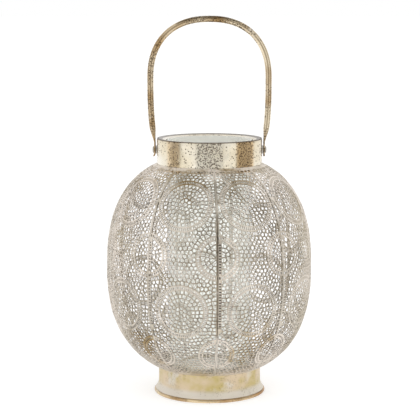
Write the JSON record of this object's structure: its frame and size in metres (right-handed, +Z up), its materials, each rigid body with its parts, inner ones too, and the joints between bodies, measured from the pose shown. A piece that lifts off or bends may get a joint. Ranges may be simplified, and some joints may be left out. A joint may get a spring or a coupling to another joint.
{
  "type": "metal lantern",
  "caption": "Round lobed candle lantern of pierced metal on a flared foot, with a glass cylinder inside its open neck and a swinging bail handle.",
  "frame": {"origin": "on the floor under the lantern's centre line, in the plane of the foot bead's ground flat", "axes": "+Z up the lantern's axis, +X along the bail's pivot axis, and the pictured front faces -Y"},
  "size_m": [0.2101, 0.2101, 0.3862],
  "materials": {
    "pierced_shell": "pierced sheet, antique gold under a rubbed whitewash",
    "collar_gold": "pale antique gold, satin, speckled dark patina",
    "bail_metal": "antique gold tube with dark speckle and whitewash",
    "plain_steel": "plain satin metal, slightly dulled",
    "clear_glass": "clear, smooth, faint green edge"
  },
  "bodies": {
    "lantern": {"shell_gore_1": "pierced_shell", "shell_gore_2": "pierced_shell", "shell_gore_3": "pierced_shell", "shell_gore_4": "pierced_shell", "shell_gore_5": "pierced_shell", "shell_gore_6": "pierced_shell", "shell_gore_7": "pierced_shell", "shell_gore_8": "pierced_shell", "shell_gore_9": "pierced_shell", "neck_collar": "collar_gold", "neck_lip": "collar_gold", "foot_collar": "collar_gold", "foot_bead": "collar_gold", "base_pan": "plain_steel", "bail_rivet_right": "plain_steel", "bail_washer_right": "plain_steel", "bail_rivet_left": "plain_steel", "bail_washer_left": "plain_steel"},
    "bail": {"bail_handle": "bail_metal"},
    "glass": {"glass_cylinder": "clear_glass"}
  },
  "joints": [
    {"name": "bail_swing", "type": "hinge", "parent": "lantern", "child": "bail", "pos_m": [0, 0, 0.2508], "axis": [1, 0, 0], "range_deg": [-116, 116]},
    {"name": "glass_lift", "type": "slide", "parent": "lantern", "child": "glass", "axis": [0, 0, 1], "range_m": [0, 0.095]}
  ]
}
